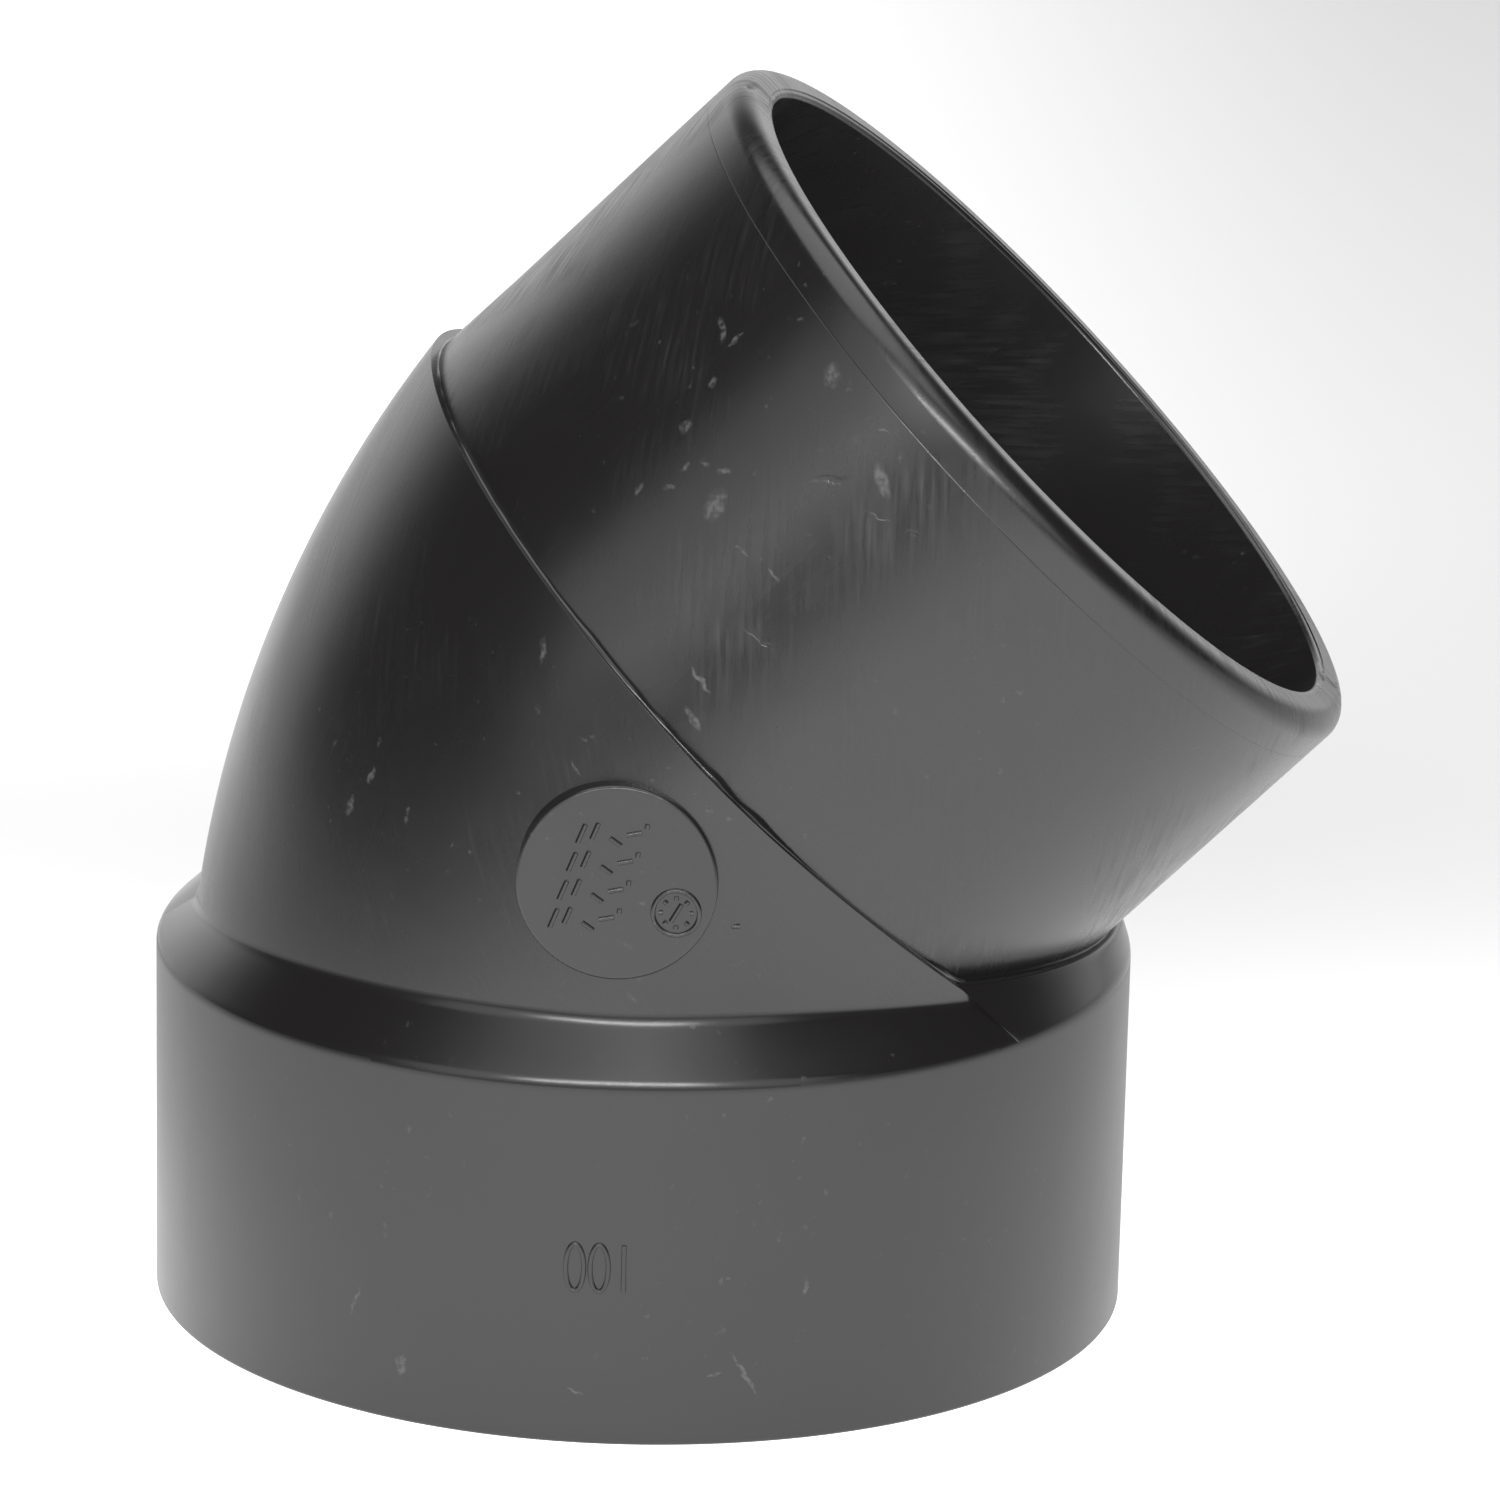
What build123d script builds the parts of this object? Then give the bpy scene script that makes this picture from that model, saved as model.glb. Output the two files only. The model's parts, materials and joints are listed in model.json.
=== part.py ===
from build123d import *
from math import cos, hypot, radians, sin
import os

# A 45-degree street elbow for 4-inch drain or duct pipe: a hub (socket) at one end and a
# spigot of pipe size at the other, moulded in one black plastic.
# All lengths are millimetres. The hub stands mouth down on Z = 0, centred on the Z axis, and
# the spigot leans towards +X in the XZ plane. -Y is the side that carries the marking disc.

# Driving dimensions: pipe size and wall
TURN = 45.0                    # angle between hub axis and spigot axis, degrees
SPIGOT_OUTER_R = 57.15         # 114.3 outside, the pipe's own size
WATERWAY_R = 51.13             # 102.26 inside, the pipe's own bore
SOCKET_R = 57.25               # the pipe slides in with 0.1 to spare
SOCKET_DEPTH = 44.45           # 1 3/4 inch of pipe to the stop

# Hub and collar
HUB_OUTER_R = 63.96
HUB_EDGE_ROUND = 0.6
COLLAR_FOOT_Z = 46.5           # where the straight hub wall ends as a piece
BEVEL_FOOT_Z = 47.7            # where the wall starts to lean in
BEVEL_TOP_Z = 55.2
BEVEL_TOP_R_UNDER_SPIGOT = 61.1
BEVEL_RUN_OUT = 2.5            # how far past the shoulder's plane the bevel follows the bend

# Bend
BEND_OUTER_R = 59.96           # radius of the bent tube
BEND_SWEEP_R = 99.475          # radius that its centreline follows
BEND_START_Z = 31.552          # height of the sweep's pivot
WATERWAY_SWEEP_R = 55.0

# Spigot, measured along its own axis from where it crosses the hub's axis
AXES_MEET_Z = 72.04
SHOULDER_S = 18.09             # shoulder face at the spigot's root
SPIGOT_LENGTH = 54.07          # shoulder to rim
SPIGOT_PLAIN_LENGTH = 41.0     # of pipe size, from the rim back to where a hub meets the collar
SPIGOT_ROOT_R = 57.35          # slight draft towards the shoulder
RIM_OUTER_ROUND = 3.0
RIM_INNER_ROUND = 0.6

# Raised details
BEAD_R = 0.7                   # bead of flash in the corner of the shoulder
SEAM_WIDTH = 0.5               # mould line across the collar's bevel
SEAM_HEIGHT = 0.25
DISC_R = 12.65
DISC_X = -0.6
DISC_Z = 73.2
DISC_FACE_Y = -60.3
DISC_EDGE_ROUND = 0.25
MARK_HEIGHT = 0.35             # how far the marks stand out of the disc
MARK_WIDTH = 0.9
CLOCK_X = 6.9                  # date clock on the disc
CLOCK_Z = 69.6
CLOCK_R = 2.9
PIP_X = 14.25                  # gate pip beside the disc
PIP_Z = 67.4
PIP_R = 0.8
NUMERAL_X = -1.75              # centre of the size numerals on the hub wall
NUMERAL_Z = 23.65
NUMERAL_HEIGHT = 6.5
NUMERAL_STROKE = 0.8
NUMERAL_PITCH = 3.1
NUMERAL_RELIEF = 0.3

BIG = 400.0                    # larger than the whole object

crossing = Vector(0, 0, AXES_MEET_Z)
spigot_way = Vector(sin(radians(TURN)), 0, cos(radians(TURN)))
spigot_plane = Plane(origin=crossing, x_dir=(0, 1, 0), z_dir=spigot_way)
shoulder_plane = spigot_plane.offset(SHOULDER_S)


def turned(points, plane):
    """Solid of revolution about the plane's Z axis, from (radius, height) corners."""
    with BuildPart() as part:
        with BuildSketch(Plane.XZ):
            with BuildLine():
                Polyline(*points, close=True)
            make_face()
        revolve(axis=Axis.Z)
    return plane * part.part


def beyond(plane):
    """Everything on the far side of a plane."""
    return plane * Pos(0, 0, BIG / 2) * Box(BIG, BIG, BIG)


def slab(low, high):
    """Everything between two heights."""
    return Pos(0, 0, (low + high) / 2) * Box(BIG, BIG, high - low)


def side_plane(x, y, z):
    """Plane that faces -Y, drawn on with +X to the right and +Z up."""
    return Plane(origin=(x, y, z), x_dir=(1, 0, 0), z_dir=(0, -1, 0))


def waterway():
    """The smooth round channel from the pipe stop to the spigot's rim, and out past it."""
    path = FilletPolyline(
        (0, 0, 0),
        (0, 0, AXES_MEET_Z),
        crossing + spigot_way * (SHOULDER_S + SPIGOT_LENGTH + 10),
        radius=WATERWAY_SWEEP_R,
    )
    return sweep(Plane.XY * Circle(WATERWAY_R), path=path)


def bend_tube():
    """Solid bent tube that the bend's outside is cut from."""
    pivot = Axis((BEND_SWEEP_R, 0, BEND_START_Z), (0, 1, 0))
    section = Pos(0, 0, BEND_START_Z) * Circle(BEND_OUTER_R)
    return revolve(section, axis=pivot, revolution_arc=TURN)


def spigot_rod():
    """Solid rod of the spigot's outside, from inside the bend to the rounded rim."""
    end = SHOULDER_S + SPIGOT_LENGTH
    rod = turned(
        [
            (0, 0),
            (SPIGOT_ROOT_R, 0),
            (SPIGOT_ROOT_R, SHOULDER_S),
            (SPIGOT_OUTER_R, end - SPIGOT_PLAIN_LENGTH),
            (SPIGOT_OUTER_R, end),
            (0, end),
        ],
        spigot_plane,
    )
    rim = rod.edges().filter_by(GeomType.CIRCLE).sort_by(Axis(crossing, spigot_way))[-1]
    return fillet(rim, RIM_OUTER_ROUND)


def bend_radius_at(angle, height):
    """Distance from the hub's axis to the bend's skin, at an angle about it and a height."""
    low = 0.5 * BEND_OUTER_R
    high = 1.5 * BEND_OUTER_R
    for _ in range(40):
        middle = (low + high) / 2
        x = middle * cos(angle)
        y = middle * sin(angle)
        from_pivot = hypot(x - BEND_SWEEP_R, height - BEND_START_Z)
        inside = hypot(from_pivot - BEND_SWEEP_R, y) < BEND_OUTER_R
        low = middle if inside else low
        high = high if inside else middle
    return low


def bevel_top_outline(extra):
    """Closed curve where the bevel ends: on the bend's skin, and round under the spigot."""
    points = []
    shoulder_x = AXES_MEET_Z + SHOULDER_S / cos(radians(TURN)) - BEVEL_TOP_Z
    for step in range(24):
        angle = radians(15 * step)
        radius = bend_radius_at(angle, BEVEL_TOP_Z)
        if radius * cos(angle) > shoulder_x + BEVEL_RUN_OUT:
            radius = BEVEL_TOP_R_UNDER_SPIGOT
        radius += extra
        points.append((radius * cos(angle), radius * sin(angle)))
    return Plane.XY.offset(BEVEL_TOP_Z) * make_face(Spline(*points, periodic=True))


def bevel(extra):
    """Solid under the bevel, from the hub's round wall to the outline at its top."""
    foot = Plane.XY.offset(BEVEL_FOOT_Z) * Circle(HUB_OUTER_R + extra)
    return loft([foot.face(), bevel_top_outline(extra).face()])


def hub_socket():
    """Straight hub wall with the pipe's socket and its stop."""
    return turned(
        [
            (SOCKET_R, 0),
            (HUB_OUTER_R - HUB_EDGE_ROUND, 0),
            (HUB_OUTER_R, HUB_EDGE_ROUND),
            (HUB_OUTER_R, COLLAR_FOOT_Z),
            (WATERWAY_R, COLLAR_FOOT_Z),
            (WATERWAY_R, SOCKET_DEPTH),
            (SOCKET_R, SOCKET_DEPTH),
        ],
        Plane.XY,
    )


def collar():
    """Thick ring above the socket, bevelled from the hub's wall in to the bend."""
    foot_height = BEVEL_FOOT_Z - COLLAR_FOOT_Z
    foot = Pos(0, 0, COLLAR_FOOT_Z + foot_height / 2) * Cylinder(HUB_OUTER_R, foot_height)
    under_spigot = spigot_rod() & slab(BEVEL_FOOT_Z, BEVEL_TOP_Z) & beyond(shoulder_plane)
    return foot + bevel(0) + under_spigot - waterway()


def bend_body():
    """Curved body from the collar to the shoulder."""
    tube = bend_tube() & slab(BEVEL_TOP_Z, BIG)
    return tube - beyond(shoulder_plane) - waterway()


def spigot_barrel():
    """Plain end of pipe size, from the shoulder to the rounded rim."""
    barrel = spigot_rod() & beyond(shoulder_plane) & slab(BEVEL_TOP_Z, BIG)
    barrel = barrel - waterway()
    inner_rim = [
        edge
        for edge in barrel.edges().filter_by(GeomType.CIRCLE)
        if abs(edge.radius - WATERWAY_R) < 0.01
    ]
    along = Axis(crossing, spigot_way)
    return fillet(ShapeList(inner_rim).sort_by(along)[-1], RIM_INNER_ROUND)


def shoulder_bead():
    """Bead of flash in the corner between the shoulder face and the barrel."""
    ring = shoulder_plane * Torus(SPIGOT_ROOT_R + BEAD_R / 2, BEAD_R)
    ring = ring & beyond(shoulder_plane) & slab(BEVEL_TOP_Z, BIG)
    return ring - spigot_rod()


def parting_line():
    """Thin raised mould line across the bevel on both sides, in the shoulder's plane."""
    strip = shoulder_plane * Box(BIG, BIG, SEAM_WIDTH)
    strip = strip & Pos(0, 0, BEVEL_FOOT_Z) * Cylinder(HUB_OUTER_R, BIG)
    skin = bevel(SEAM_HEIGHT) - bevel(0)
    return (skin & strip) - spigot_rod()


def marking_disc():
    """Flat-faced round pad on the side of the bend."""
    depth = 12.0
    pad = Cylinder(DISC_R, depth)
    face_edge = pad.edges().sort_by(Axis.Z)[-1]
    pad = fillet(face_edge, DISC_EDGE_ROUND)
    return side_plane(DISC_X, DISC_FACE_Y + depth / 2, DISC_Z) * pad - bend_tube()


def bar(x, z, length, slant):
    """Raised bar with round ends, lying on the disc's face."""
    outline = Rot(0, 0, slant) * SlotOverall(length, MARK_WIDTH)
    return disc_face * Pos(x - DISC_X, z - DISC_Z) * extrude(outline, MARK_HEIGHT)


def disc_marks():
    """Generic moulder's marks: two slanting ladders of bars, a date clock and a gate pip."""
    marks = []
    for step in range(4):
        marks.append(bar(-8.6 + 1.2 * step, 68.2 + 4.0 * step, 4.2, 20))
        marks.append(bar(-2.2 + 1.2 * step, 67.2 + 4.0 * step, 3.4, -35))
    clock_ring = Circle(CLOCK_R) - Circle(CLOCK_R - 0.5)
    clock = Pos(CLOCK_X - DISC_X, CLOCK_Z - DISC_Z)
    marks.append(disc_face * clock * extrude(clock_ring, MARK_HEIGHT))
    marks.append(bar(CLOCK_X, CLOCK_Z, 2.4, 60))
    pip_depth = 2.0
    pip = side_plane(PIP_X, DISC_FACE_Y + pip_depth / 2, PIP_Z)
    marks.append(pip * Cylinder(PIP_R, pip_depth) - bend_tube())
    return Compound(children=[solid for mark in marks for solid in mark.solids()])


def numeral(digit):
    """Outline of a 0 or a 1, as tall as the size numerals."""
    if digit == "1":
        return Rectangle(NUMERAL_STROKE, NUMERAL_HEIGHT)
    width = NUMERAL_PITCH - NUMERAL_STROKE
    outer = Rot(0, 0, 90) * SlotOverall(NUMERAL_HEIGHT, width)
    return outer - offset(outer, -NUMERAL_STROKE)


def size_numerals():
    """Nominal size in millimetres, raised on the hub wall and upside down."""
    wall = side_plane(NUMERAL_X, -HUB_OUTER_R - NUMERAL_RELIEF, NUMERAL_Z)
    skin = Cylinder(HUB_OUTER_R + NUMERAL_RELIEF, BIG) - Cylinder(HUB_OUTER_R, BIG)
    solids = []
    for place, digit in enumerate("100"):
        shift = Pos(NUMERAL_PITCH * (1 - place), 0, -3.0)
        stamp = wall * shift * extrude(numeral(digit), 4.0)
        solids += (stamp & skin).solids()
    return Compound(children=solids)


disc_face = side_plane(DISC_X, DISC_FACE_Y, DISC_Z)

sub_parts = {
    "hub_socket": hub_socket,
    "collar": collar,
    "bend_body": bend_body,
    "spigot_barrel": spigot_barrel,
    "shoulder_bead": shoulder_bead,
    "parting_line": parting_line,
    "marking_disc": marking_disc,
    "disc_marks": disc_marks,
    "size_numerals": size_numerals,
}

os.makedirs("parts", exist_ok=True)
for name, make in sub_parts.items():
    export_step(make(), f"parts/{name}.step")
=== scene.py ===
# %% [markdown]
# # A 45-degree street elbow in black plastic
# This file builds the finished look of a pipe elbow around its packed design model. The
# design model is loaded first and is never moved: it gives the pipe sizes, the places of the
# two ends and the box that everything has to stay inside.

# %% Load the design model as a fixed frame
import json
from math import acos, asin, atan2, cos, degrees, hypot, pi, radians, sin, sqrt, tan

import bmesh
import bpy
from mathutils import Euler, Matrix, Vector, noise


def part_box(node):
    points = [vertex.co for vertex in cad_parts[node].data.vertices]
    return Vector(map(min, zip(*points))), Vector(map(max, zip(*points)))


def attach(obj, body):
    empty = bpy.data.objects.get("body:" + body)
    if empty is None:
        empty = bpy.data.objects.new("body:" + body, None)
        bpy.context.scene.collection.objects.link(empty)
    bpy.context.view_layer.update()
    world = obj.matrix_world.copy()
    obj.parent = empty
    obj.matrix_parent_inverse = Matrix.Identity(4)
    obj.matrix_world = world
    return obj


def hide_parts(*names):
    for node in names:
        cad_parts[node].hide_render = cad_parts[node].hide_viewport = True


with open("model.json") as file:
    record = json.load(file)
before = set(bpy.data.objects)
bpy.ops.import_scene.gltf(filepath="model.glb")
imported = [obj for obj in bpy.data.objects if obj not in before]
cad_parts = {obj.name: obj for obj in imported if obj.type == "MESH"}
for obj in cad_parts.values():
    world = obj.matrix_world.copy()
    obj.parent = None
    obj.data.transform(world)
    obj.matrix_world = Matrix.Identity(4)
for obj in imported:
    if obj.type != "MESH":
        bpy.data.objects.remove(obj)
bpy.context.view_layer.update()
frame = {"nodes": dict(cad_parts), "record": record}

print("pieces in the design model:", sorted(frame["nodes"]))

# %% [markdown]
# ## Sizes
# The two ends are the fitting's interfaces, so their sizes and places come from the record.
# The rest are the mould maker's own dimensions, given in millimetres and turned into metres.

# %% Read the pipe sizes and name the others
MM = 0.001
mounts = {m["name"]: m for m in frame["record"]["mounts"]}
socket_r = mounts["hub_socket"]["dims"]["r_mm"] * MM
socket_depth = mounts["hub_socket"]["dims"]["length_mm"] * MM
spigot_r = mounts["spigot"]["dims"]["r_mm"] * MM
spigot_way = Vector(mounts["spigot"]["axis"]).normalized()
on_spigot_axis = Vector(mounts["spigot"]["pos_m"])
axes_meet = on_spigot_axis - spigot_way * (on_spigot_axis.x / spigot_way.x)
turn = atan2(spigot_way.x, spigot_way.z)

hub_low, hub_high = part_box("hub_socket")
hub_r = hub_high.x
hub_mouth_r = hub_r - 0.19 * MM      # a little draft towards the mouth
foot_z = hub_high.z                  # where the hub's straight wall becomes the collar
waterway_r = 51.13 * MM
shoulder_s = 18.09 * MM              # along the spigot's axis from where the two axes cross
rim_s = shoulder_s + 54.07 * MM

bend_r = 59.96 * MM                  # the bent tube
sweep_r = 99.475 * MM                # its centreline
bend_pivot = Vector((sweep_r, 0, 31.552 * MM))
waterway_sweep_r = 55 * MM
waterway_tangent = waterway_sweep_r * tan(turn / 2)

spigot_frame = Matrix.Translation(axes_meet) @ Matrix.Rotation(turn, 4, "Y")
shoulder_centre = axes_meet + spigot_way * shoulder_s
shoulder_sum = shoulder_centre.x + shoulder_centre.z    # x + z is the same all over its plane
AROUND = 288                         # steps round every tube
print("hub radius", round(hub_r / MM, 2), "spigot radius", round(spigot_r / MM, 2),
      "turn", round(degrees(turn), 1))

# %% [markdown]
# ## The camera
# A long lens from far away keeps the two tubes nearly parallel-sided. The camera stands a
# little right of the fitting's side and looks down at it, tipped by a degree as if hand held.

# %% Set up the camera
LENS = 225.8
camera_azimuth, camera_elevation, camera_roll = radians(2.149), radians(16.299), radians(1.256)
camera_distance = 1.2287
look_at = Vector((13.393, 0, 73.421)) * MM

camera_data = bpy.data.cameras.new("camera")
camera_data.lens = LENS
camera_data.sensor_width = 36
camera = bpy.data.objects.new("camera", camera_data)
bpy.context.scene.collection.objects.link(camera)
camera.matrix_world = (
    Matrix.Translation(look_at)
    @ Matrix.Rotation(camera_azimuth, 4, "Z")
    @ Matrix.Rotation(pi / 2 - camera_elevation, 4, "X")
    @ Matrix.Rotation(camera_roll, 4, "Z")
    @ Matrix.Translation((0, 0, camera_distance))
)
bpy.context.scene.camera = camera
print("camera at", [round(x, 3) for x in camera.matrix_world.translation])

# %% [markdown]
# ## Helpers for shaping
# Every piece starts from a circle or a short outline and grows by extruding, spinning and
# bevelling. `grow` extrudes a closed loop of edges and puts each new point where a small
# function says. `finish_mesh` merges doubles, turns the faces outwards, marks the corners and
# hands the piece to the design model's body.

# %% Write the shaping helpers
def loop_of(verts):
    """Edges that run between these points only."""
    chosen = set(verts)
    return [e for e in {e for v in verts for e in v.link_edges} if set(e.verts) <= chosen]


def grow(bm, edges, place):
    """Extrude a closed loop of edges. place(old point) gives each new point."""
    made = bmesh.ops.extrude_edge_only(bm, edges=edges)["geom"]
    verts = [g for g in made if isinstance(g, bmesh.types.BMVert)]
    for v in verts:
        v.co = place(v.co.copy())
    return loop_of(verts)


def circle(bm, radius, steps=AROUND, matrix=Matrix()):
    """A closed loop of edges, without a face in it."""
    verts = bmesh.ops.create_circle(bm, cap_ends=False, segments=steps, radius=radius,
                                    matrix=matrix)["verts"]
    return loop_of(verts)


def ring_edges(bm, radius, height):
    """Edges of the ring that has this radius about Z and this height."""
    def on_ring(v):
        return abs(v.co.xy.length - radius) < 0.01 * MM and abs(v.co.z - height) < 0.01 * MM
    return [e for e in bm.edges if on_ring(e.verts[0]) and on_ring(e.verts[1])]


def round_edges(bm, edges, size, segments=4):
    bmesh.ops.bevel(bm, geom=edges, offset=size, offset_type="OFFSET", segments=segments,
                    profile=0.5, affect="EDGES", clamp_overlap=True, material=-1)


def turned(outline, rounds=(), steps=AROUND):
    """Spin a closed outline of (radius, height) points about Z, then round its corners."""
    bm = bmesh.new()
    verts = [bm.verts.new((r, 0, z)) for r, z in outline]
    edges = [bm.edges.new(pair) for pair in zip(verts, verts[1:] + verts[:1])]
    bmesh.ops.spin(bm, geom=verts + edges, axis=(0, 0, 1), cent=(0, 0, 0), dvec=(0, 0, 0),
                   angle=2 * pi, steps=steps, use_merge=True)
    bmesh.ops.remove_doubles(bm, verts=bm.verts, dist=0.001 * MM)
    for radius, height, size, segments in rounds:
        round_edges(bm, ring_edges(bm, radius, height), size, segments)
    return bm


def lay_chart(bm, chart):
    """Store each corner's place on the skin as a UV map, in metres round and along."""
    layer = bm.loops.layers.uv.new("skin")
    for face in bm.faces:
        places = [chart(corner.vert.co) for corner in face.loops]
        most = max(angle for angle, _, _ in places)
        for corner, (angle, radius, along) in zip(face.loops, places):
            if most - angle > pi:            # the face lies across the chart's own cut
                angle += 2 * pi
            corner[layer].uv = (angle * radius, along)


def finish_mesh(bm, name, *nodes, corner=40, chart=None):
    """Make an object of the mesh, standing for these nodes of the design model."""
    bmesh.ops.remove_doubles(bm, verts=bm.verts, dist=0.0005 * MM)
    bmesh.ops.recalc_face_normals(bm, faces=bm.faces)
    if chart:
        lay_chart(bm, chart)
    mesh = bpy.data.meshes.new(name)
    bm.to_mesh(mesh)
    bm.free()
    mesh.shade_smooth()
    mesh.set_sharp_from_angle(angle=radians(corner))
    piece = bpy.data.objects.new(name, mesh)
    bpy.context.scene.collection.objects.link(piece)
    shading = piece.modifiers.new("even shading", "WEIGHTED_NORMAL")
    shading.keep_sharp = True
    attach(piece, "root")
    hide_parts(*nodes)
    loose = sum(1 for e in mesh.edges if e.is_loose)
    print(name, "has", len(mesh.polygons), "faces and", loose, "loose edges")
    return piece


# %% [markdown]
# ## The hub
# The hub is a plain turned ring: a straight outer wall with a hair of draft, a socket that the
# pipe slides into, and the stop that it lands on. A lathe would make it from one outline, so
# `spin` does too. Its mouth is lightly rounded, as a moulded edge always is.

# %% Spin the hub
hub = turned(
    [
        (socket_r, 0),
        (hub_mouth_r, 0),
        (hub_r, foot_z),
        (waterway_r, foot_z),
        (waterway_r, socket_depth),
        (socket_r, socket_depth),
    ],
    rounds=[
        (hub_mouth_r, 0, 0.5 * MM, 4),
        (socket_r, 0, 0.5 * MM, 3),
        (waterway_r, socket_depth, 0.4 * MM, 3),
        (socket_r, socket_depth, 0.5 * MM, 3),
    ],
)


def hub_chart(point):
    """Round from the front and up from the mouth."""
    return atan2(point.x, -point.y), hub_r, point.z


hub_shell = finish_mesh(hub, "hub_shell", "hub_socket", chart=hub_chart)

# %% [markdown]
# ## Where the skins are
# The collar has to meet two leaning surfaces: the bend, which is part of a ring-shaped tube,
# and the spigot's barrel, a leaning cylinder. Going out from the hub's axis at an angle and a
# height, `skin_radius` finds where one of them ends, by halving the gap. The bend isn't a true
# tube all over: low down by the shoulder it is a little slimmer, and `slimmed` says by how much.

# %% Measure the bend's and the barrel's skins
def past_shoulder(point):
    """Distance past the shoulder's plane, towards the spigot."""
    return (point.x + point.z - shoulder_sum) / sqrt(2)


def smooth(step):
    """0 up to 0 and 1 from 1 on, with a soft rise in between."""
    step = min(1, max(0, step))
    return step * step * (3 - 2 * step)


SLIMMEST = 0.088                     # share of the width that is lost at the crotch
SLIM_FROM = 32 * MM                  # this far before the shoulder the slimming begins
SLIM_OVER = 30 * MM
LOW_FROM, LOW_OVER = 60 * MM, 55 * MM


def slimmed(x, z):
    """Share of its width that the bend keeps here: it is slimmer low down by the shoulder."""
    near = smooth((past_shoulder(Vector((x, 0, z))) + SLIM_FROM) / SLIM_OVER)
    low = smooth(((x - z) / sqrt(2) + LOW_FROM) / LOW_OVER)
    return 1 - SLIMMEST * near * low


def inside_bend(point):
    from_pivot = hypot(point.x - bend_pivot.x, point.z - bend_pivot.z)
    return hypot(from_pivot - sweep_r, point.y / slimmed(point.x, point.z)) < bend_r


def inside_barrel(point):
    off = point - axes_meet
    return (off - spigot_way * off.dot(spigot_way)).length < spigot_r


def skin_radius(inside, angle, height):
    """Distance from the hub's axis to the skin of the bend or the barrel."""
    near, far = 0.5 * hub_r, 1.3 * hub_r
    for _ in range(30):
        middle = (near + far) / 2
        solid = inside(Vector((middle * cos(angle), middle * sin(angle), height)))
        near, far = (middle, far) if solid else (near, middle)
    return near


print("skin at the front", round(skin_radius(inside_bend, -pi / 2, 55 * MM) / MM, 2))

# %% [markdown]
# ## The collar
# Above the hub's wall a bevel leans in to the fitting's body. It has two halves that meet in
# the shoulder's plane. Round the bend its top edge lies on the bend's skin, level in front,
# dipping at the left and a little by the shoulder. Under the spigot it ends in a narrow shelf
# that runs in to the barrel.
# Each half is first grown as a whole ring, row by row: foot, rounded corner, bevel, top, then
# back down inside the wall, where nobody sees it. `bisect_plane` then cuts the ring along the
# shoulder's plane, which gives the two halves one clean line between them, as the two halves
# of the mould did.

# %% Describe the two halves of the bevel
bevel_foot_z = 47.7 * MM
BEVEL_TOP = 55.2 * MM
CORNER = 0.9 * MM                    # rounding where the wall starts to lean in
FILLET = 0.9 * MM                    # hollow fillet against the body
EDGE = 0.3 * MM                      # rounding of the shelf's edge
LEFT_DIP = 4.0 * MM                  # how far the top edge dips at the far left
SHOULDER_DIP = 2.1 * MM              # and by the shoulder
SHELF_R, SHELF_Z = 62.6 * MM, 52.2 * MM    # the shelf's edge, right under the spigot
foot = Vector((hub_r, bevel_foot_z))


def to_right(angle):
    """Angle away from the side that the spigot leans to, either way."""
    return abs(atan2(sin(angle), cos(angle)))


def bend_side_edge(angle):
    """(radius, height) of the bevel's top edge on the bend."""
    dip = 0 if cos(angle) > 0 else (1 - abs(sin(angle))) ** 1.6
    by_shoulder = smooth((radians(82) - to_right(angle)) / radians(45))
    height = BEVEL_TOP - LEFT_DIP * dip - SHOULDER_DIP * by_shoulder
    return Vector((skin_radius(inside_bend, angle, height), height))


def barrel_side_edge(angle):
    """(radius, height) of the shelf's edge under the barrel."""
    share = min(1.15, to_right(angle) / radians(41))
    return Vector((SHELF_R - 2.6 * MM * share ** 1.3, SHELF_Z + 3.0 * MM * share ** 1.5))


def bent(first, corner, last, step):
    """Point on the smooth curve that a corner pulls towards itself."""
    return first * (1 - step) ** 2 + corner * (2 * step * (1 - step)) + last * step ** 2


def bevel_rows(edge):
    """Rows from the wall's top up to just under the bevel's edge."""
    slope = (edge - foot).normalized()
    low = foot - Vector((0, CORNER))
    rows = [bent(low, foot, foot + slope * CORNER, step / 4) for step in range(5)]
    return rows + [foot.lerp(edge, share) for share in (0.35, 0.6, 0.8)]


def bend_side_rows(angle):
    edge = bend_side_edge(angle)
    back = edge + (foot - edge).normalized() * FILLET
    top = Vector((skin_radius(inside_bend, angle, edge.y + FILLET), edge.y + FILLET))
    return bevel_rows(edge) + [bent(back, edge, top, step / 6) for step in range(7)]


def barrel_side_rows(angle):
    edge = barrel_side_edge(angle)
    in_wall = skin_radius(inside_barrel, angle, edge.y)
    before = edge + (foot - edge).normalized() * EDGE
    after = Vector((max(edge.x - EDGE, in_wall), edge.y + 0.05 * MM))
    near = Vector((min(after.x, in_wall + FILLET), edge.y + 0.1 * MM))
    up = edge.y + 0.8 * FILLET
    top = Vector((skin_radius(inside_barrel, angle, up), up))
    nook = Vector((in_wall + 0.1 * MM, edge.y + 0.1 * MM))
    return bevel_rows(edge) + [before, bent(before, edge, after, 0.5), after] + [
        bent(near, nook, top, step / 3) for step in range(4)
    ]


INNER_R = 53.5 * MM


def inner_rows(top):
    """Rows hidden inside the wall."""
    return [top + Vector((-2.0, -0.2)) * MM, Vector((INNER_R, foot_z + 2 * MM)),
            Vector((INNER_R, foot_z))]


# %% Grow the two rings and cut them
COLLAR_AROUND = 720


def collar_point(angle, outward, up):
    return Vector((outward * cos(angle), outward * sin(angle), up))


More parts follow.
